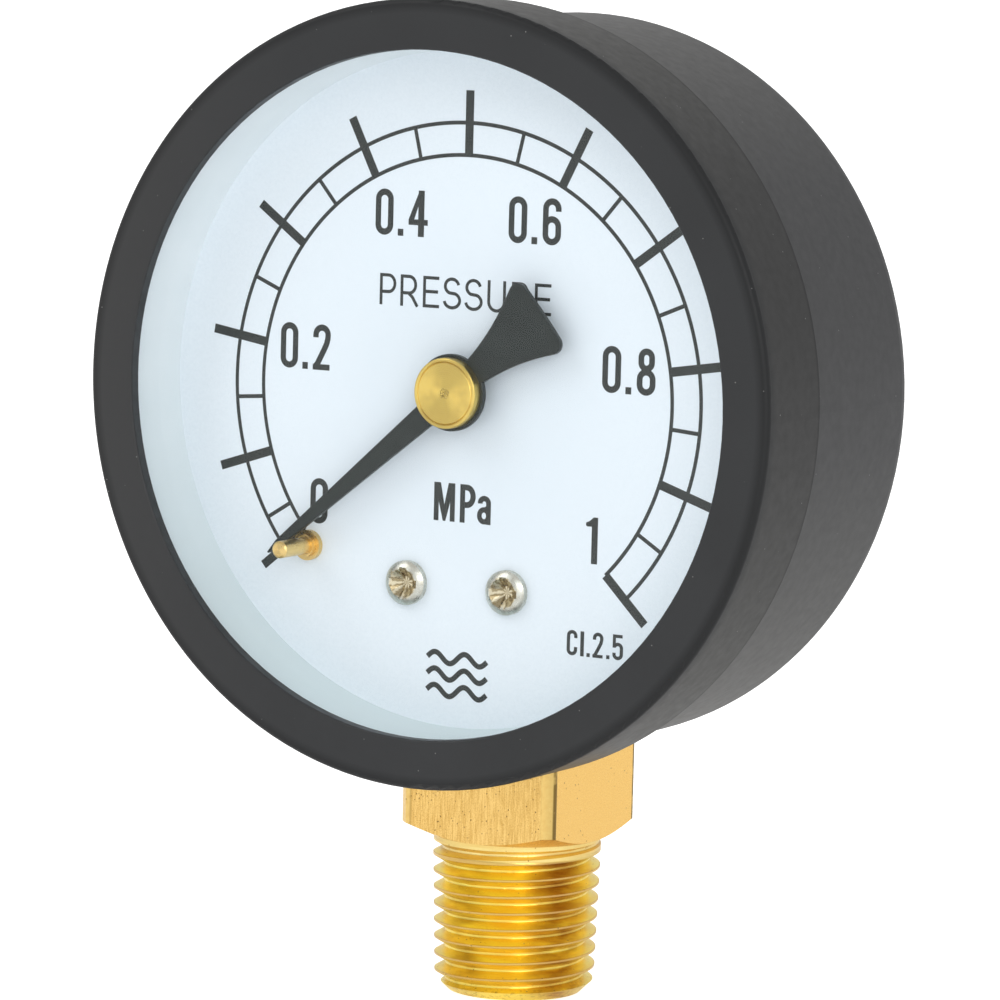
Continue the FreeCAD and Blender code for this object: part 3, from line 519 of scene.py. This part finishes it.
def stem_brass():
    """Machined brass: a brushed front flat, grainy sides, turned corners and a lightly stained thread."""
    block_foot, thread_top = 12.5, 11.4
    half_width, corner_radius, groove_place = 7.0, 9.3, -5.8
    crest_radius, crest_height, taper = 6.7, 11.3, 1 / 32
    look = Look("stem_brass", Metallic=1.0)
    across, along, height = look.part("X"), look.part("Y"), look.part("Z")
    off_middle = look.math("ABSOLUTE", across)
    from_axis = look.math("SQRT", look.math("ADD", look.times(across, across), look.times(along, along)))

    # Which part of the stem a place is on
    on_block = look.span(height, block_foot, block_foot + 0.2)
    on_thread = look.span(height, thread_top, thread_top - 0.2)
    on_collar = look.math("SUBTRACT", look.math("SUBTRACT", 1.0, on_block), on_thread)
    flats = look.times(look.span(from_axis, corner_radius + 0.02, corner_radius - 0.04), on_block)
    sides = look.times(look.span(off_middle, half_width - 0.04, half_width - 0.02), flats)
    faces = look.math("SUBTRACT", flats, sides)
    brushed_part = look.times(faces, look.span(across, groove_place - 0.05, groove_place + 0.1))

    # The clean tone of each part
    lines = look.noise(0.12, 3, (1, 1, 13))
    grain = look.noise(0.3, 4)
    fine = look.noise(0.1, 3)
    streaks = look.noise(0.8, 4, (6, 6, 0.4))
    brushing = look.math("ADD", look.times(lines, 0.5), look.times(fine, 0.5))
    collar_tone = look.mix(look.span(streaks, 0.35, 0.65), (1.0, 0.82, 0.33), (0.88, 0.62, 0.2))
    thread_tone = look.mix(look.span(streaks, 0.35, 0.7), (1.0, 0.82, 0.17), (0.98, 0.68, 0.12))
    corner_tone = look.mix(look.span(grain, 0.3, 0.7), (0.88, 0.62, 0.21), (0.82, 0.54, 0.17))
    brushed_tone = look.mix(look.span(brushing, 0.41, 0.6), (1.0, 0.67, 0.23), (0.7, 0.42, 0.11))
    side_tone = look.mix(look.span(fine, 0.38, 0.66), (1.0, 0.65, 0.19), (0.86, 0.51, 0.13))
    tone = look.mix(on_thread, collar_tone, thread_tone)
    tone = look.mix(on_block, tone, corner_tone)
    tone = look.mix(brushed_part, tone, brushed_tone)
    tone = look.mix(sides, tone, side_tone)

    # A dull strip with a dark ragged edge by the right-hand corner, and a tool's groove at the left
    near_corner = look.times(look.span(from_axis, corner_radius - 0.1, corner_radius - 0.03), on_block)
    strip = look.times(near_corner, look.span(across, half_width - 0.85, half_width - 0.05), 0.5)
    ragged = look.span(look.noise(1.5, 3), 0.3, 0.44)
    strip_edge = look.times(near_corner, look.span(across, half_width - 0.16, half_width - 0.08), ragged)
    off_groove = look.math("ABSOLUTE", look.math("SUBTRACT", across, groove_place))
    groove = look.times(look.span(off_groove, 0.14, 0.05), faces)
    tone = look.mix(strip, tone, (0.5, 0.36, 0.12))
    tone = look.mix(look.times(strip_edge, 0.85), tone, (0.13, 0.08, 0.02))
    tone = look.mix(look.times(groove, 0.5), tone, (0.45, 0.27, 0.07))

    # Stains on the collar and the thread, and painted shade at the collar's sides, placed along a line that
    # runs rightwards and partly rearwards
    sideways = look.math("ADD", look.times(across, 0.86), look.times(along, 0.51))
    patches = look.noise(1.1, 4, (3, 3, 0.5))
    outer = look.span(look.math("ABSOLUTE", sideways), 3.4, 6.6)
    left = look.span(look.math("ABSOLUTE", look.math("ADD", sideways, 4.2)), 2.2, 0.4)
    right = look.span(look.math("ABSOLUTE", look.math("SUBTRACT", sideways, 3.4)), 3.0, 0.3)
    # Painted shade with streaky stains: darker towards the collar's sides.
    collar_stain_and_shade = look.times(outer, look.span(streaks, 0.62, 0.4), on_collar, 0.8)
    left_stain = look.times(left, on_thread, look.span(patches, 0.4, 0.62), 0.6)
    right_stain = look.times(right, on_thread, look.span(patches, 0.66, 0.4), 0.9)
    tone = look.mix(collar_stain_and_shade, tone, (0.55, 0.34, 0.08))
    tone = look.mix(left_stain, tone, (0.48, 0.31, 0.06))
    tone = look.mix(right_stain, tone, (0.44, 0.2, 0.04))

    # Painted shade on the crests, to dim their highlights: the distance from the axis is first freed of the
    # thread's taper
    from_cone = look.math("ADD", from_axis, look.times(look.math("SUBTRACT", height, crest_height), -taper))
    crest_shade = look.times(look.span(from_cone, crest_radius - 0.08, crest_radius), on_thread)
    tone = look.mix(look.times(crest_shade, 0.75), tone, (0.66, 0.41, 0.15))

    # Pits in the brushed face, specks all over, and dirt at the thread's lower end
    pitted = look.span(look.noise(1.2, 3), 0.44, 0.54)
    pits = look.times(look.span(look.cells(0.4), 0.17, 0.08), pitted, brushed_part)
    specks = look.times(look.span(look.cells(0.6), 0.12, 0.06), look.span(look.noise(2), 0.42, 0.52))
    dirt = look.math("MAXIMUM", pits, specks)
    low_dirt = look.times(look.span(height, 2.2, 0.2), look.span(look.noise(0.3, 4), 0.52, 0.64), 0.35)
    tone = look.mix(look.times(dirt, 0.7), tone, (0.16, 0.08, 0.03))
    look.feed("Base Color", look.mix(low_dirt, tone, (0.2, 0.12, 0.035)))
    look.feed("Roughness", look.span(grain, 0.3, 0.75, 0.27, 0.4))
    look.bump(look.times(lines, brushed_part), 0.012)
    look.bump(look.times(fine, sides), 0.028)
    look.bump(grain, 0.005)
    look.bump(dirt, -0.03)
    return look.material


def screw_plate():
    """Dull nickel, with olive-brown facets in and around the recess in painted light and shade."""
    facets, facet_radius = 9, 1.5
    look = Look("screw_nickel", Metallic=1.0)
    patch = look.span(look.noise(0.5, 4), 0.35, 0.7)
    tone = look.mix(patch, (0.66, 0.67, 0.61), (0.52, 0.5, 0.42))
    for spot in SCREW_SPOTS:
        across, up = look.lateral(spot)
        even_turn = look.times(look.math("ARCTAN2", up, across), facets)
        turn = look.math("ADD", even_turn, look.times(look.noise(0.5), facets))
        # Painted light and shade: a recess's facets, lighter and darker by turns round it.
        facet = look.span(look.math("SINE", turn), -0.4, 0.6)
        painted_lighting = look.mix(facet, (0.3, 0.22, 0.09), (0.72, 0.64, 0.44))
        ragged = look.math("ADD", look.radius(spot), look.times(look.noise(0.4, 3), 0.5))
        tone = look.mix(look.times(look.span(ragged, facet_radius, facet_radius - 0.14), 0.85), tone, painted_lighting)
    look.feed("Base Color", tone)
    look.feed("Roughness", look.span(look.noise(0.3, 3), 0.3, 0.7, 0.22, 0.38))
    look.bump(look.noise(0.25, 3), 0.01)
    return look.material


# Put the materials on

def paint(material, *names):
    """Gives a material to CAD nodes and printed pieces, in place of what they had."""
    for name in names:
        data = nodes[name].data if name in nodes else bpy.data.objects[name].data
        data.materials.clear()
        data.materials.append(material)


def middle_of(node):
    """The middle of a node as it is seen from the front, in millimetres."""
    low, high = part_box(node)
    return ((low.x + high.x) / 2 / MM, (low.z + high.z) / 2 / MM)


printed("dial_scale_print", dial_scale())
printed("dial_numbers_print", dial_numbers())
printed("dial_lettering_print", dial_words())
printed("dial_fluid_print", fluid_sign())

paint(ink(), "dial_scale_print", "dial_numbers_print", "dial_lettering_print", "dial_fluid_print")
# Painted shade lines at the ring's front corner and its rear edge
front_shade_line = (RING_FRONT - 1, RING_FRONT + 0.7, 0.8, 0.45)
rear_shade_line = (RING_REAR - 0.2, RING_REAR + 1, 0.5, 0.7)
ring_paint = black_paint(
    "ring_paint", shade=(0.0188, 0.0198, 0.0212), painted_side_shade=(0.0105, 0.0105, 0.0105),
    painted_top_bottom_light=(0.026, 0.0255, 0.0225), painted_lighting=(0.03, 0.0303, 0.031), gloss=0.47, shine=0.38,
    painted_shade_lines=(front_shade_line, rear_shade_line))
case_paint = black_paint(
    "case_paint", shade=(0.0275, 0.0275, 0.029), painted_side_shade=(0.0255, 0.0258, 0.0278),
    painted_top_bottom_light=(0.056, 0.0555, 0.052), painted_lighting=(0.03, 0.03, 0.03), gloss=0.5, shine=0.5)
paint(ring_paint, "bezel_ring")
paint(case_paint, "case_cup")
paint(window_sheet(), "window")
paint(rubber(), "window_gasket")
paint(white_plastic(), "spacer_ring")
paint(dial_paint(), "dial")
paint(pointer_paint(), "pointer")
hub_brass = turned_brass(
    "hub_brass", middle_of("pointer_hub"), light=(0.84, 0.62, 0.16), dark=(0.55, 0.38, 0.1),
    rough=0.34, mark_radius=0.45)
pin_brass = turned_brass(
    "pin_brass", middle_of("stop_pin"), light=(0.84, 0.61, 0.24), dark=(0.7, 0.48, 0.17), rough=0.3)
paint(hub_brass, "pointer_hub")
paint(pin_brass, "stop_pin")
paint(stem_brass(), "socket")
paint(screw_plate(), "dial_screws")
plate_brass = brushed_metal(
    "plate_brass", light=(0.85, 0.58, 0.22), dark=(0.62, 0.37, 0.13), rough=0.3, stretch=(25, 1, 1))
rod_brass = brushed_metal(
    "rod_brass", light=(0.86, 0.6, 0.24), dark=(0.6, 0.36, 0.13), rough=0.25, stretch=(1, 25, 1))
screw_steel = brushed_metal(
    "screw_steel", light=(0.6, 0.6, 0.6), dark=(0.4, 0.39, 0.37), rough=0.3, stretch=(1, 20, 1))
case_screw_nickel = brushed_metal(
    "case_screw_nickel", light=(0.74, 0.72, 0.66), dark=(0.5, 0.47, 0.4), rough=0.3, stretch=(1, 12, 1))
tube_bronze = brushed_metal(
    "tube_bronze", light=(0.78, 0.47, 0.24), dark=(0.5, 0.25, 0.12), rough=0.28, stretch=(1, 30, 1))
paint(plate_brass, "rear_plate", "front_plate", "sector_gear", "link_bar", "tip_piece")
paint(rod_brass, "dial_posts", "movement_pillars", "hairspring_collet", "hairspring_stud", "restrictor_screw")
paint(screw_steel, "link_screw", "sector_arbor", "pinion_arbor", "plate_screws", "movement_screws")
paint(case_screw_nickel, "case_screws")
paint(tube_bronze, "bourdon_tube", "hairspring")


# Floor, lights and camera

def sheet(name, corners):
    """A flat four-sided surface, in metres."""
    made = bpy.data.objects.new(name, bpy.data.meshes.new(name))
    made.data.from_pydata(corners, [], [tuple(range(len(corners)))])
    bpy.context.scene.collection.objects.link(made)
    return made


def floor():
    """A plain pale sheet just under the gauge."""
    half, gap = 6.0, 0.4 * MM
    ground = sheet("floor", [(-half, -half, 0), (half, -half, 0), (half, half, 0), (-half, half, 0)])
    ground.location.z = cad_box[0].z - gap
    look = Look("floor_paper", Roughness=0.9, Emission_Color=(1, 1, 1, 1))
    look.feed("Base Color", look.mix(look.noise(120, 3), (0.6, 0.6, 0.6), (0.62, 0.62, 0.62)))
    seen = look.add("ShaderNodeLightPath", {}).outputs["Is Camera Ray"]
    look.feed("Emission Strength", look.span(seen, 0, 1, 0.5, 0.9))
    ground.data.materials.append(look.material)


def lamp(name, azimuth, elevation, distance, width, height, power):
    """A soft box that points at the middle of the dial. Azimuth 0 is in front of it, 90 on its right."""
    target = Vector((0, 0, DIAL.z * MM))
    turn, rise = math.radians(azimuth), math.radians(elevation)
    back = Vector((math.sin(turn) * math.cos(rise), -math.cos(turn) * math.cos(rise), math.sin(rise)))
    data = bpy.data.lights.new(name, "AREA")
    data.shape = "RECTANGLE"
    data.size, data.size_y = width, height
    data.energy = power
    light = bpy.data.objects.new(name, data)
    light.location = target + back * distance
    light.rotation_euler = back.to_track_quat("Z", "Y").to_euler()
    light.visible_camera = False
    bpy.context.scene.collection.objects.link(light)


def studio():
    """An even white room, a little brighter to the camera than it is as a light."""
    as_light, as_seen = 0.77, 1.0
    world = bpy.data.worlds.new("studio")
    bpy.context.scene.world = world
    world.use_nodes = True
    tree = world.node_tree
    backdrop = tree.nodes["Background"]
    backdrop.inputs["Color"].default_value = (1, 1, 1, 1)
    rays = tree.nodes.new("ShaderNodeLightPath")
    strength = tree.nodes.new("ShaderNodeMapRange")
    strength.inputs["To Min"].default_value = as_light
    strength.inputs["To Max"].default_value = as_seen
    tree.links.new(rays.outputs["Is Camera Ray"], strength.inputs["Value"])
    tree.links.new(strength.outputs["Result"], backdrop.inputs["Strength"])
    bpy.context.scene.view_settings.view_transform = "Standard"


def camera():
    """A long lens to the right of the dial and a little above its centre, tilted slightly."""
    lens, sensor_width = 194.63, 36.0
    place = Vector((215.07, -358.1, 39.2))
    azimuth, elevation, roll = (math.radians(a) for a in (30.559, 6.505, 1.406))
    back = Vector((math.sin(azimuth) * math.cos(elevation),
                   -math.cos(azimuth) * math.cos(elevation), math.sin(elevation)))
    level = Vector((0, 0, 1)).cross(back).normalized()
    above = back.cross(level)
    right = level * math.cos(roll) + above * math.sin(roll)
    up = above * math.cos(roll) - level * math.sin(roll)
    data = bpy.data.cameras.new("camera")
    data.lens = lens
    data.sensor_width = sensor_width
    data.clip_start = 0.01
    data.clip_end = 30.0
    made = bpy.data.objects.new("camera", data)
    made.matrix_world = Matrix((right, up, back)).transposed().to_4x4()
    made.location = DIAL * MM + place * MM
    bpy.context.scene.collection.objects.link(made)
    bpy.context.scene.camera = made


floor()
studio()
lamp("key", azimuth=-40, elevation=40, distance=0.6, width=0.3, height=0.3, power=0.55)
lamp("fill", azimuth=42, elevation=18, distance=0.8, width=0.4, height=0.4, power=1.3)
camera()
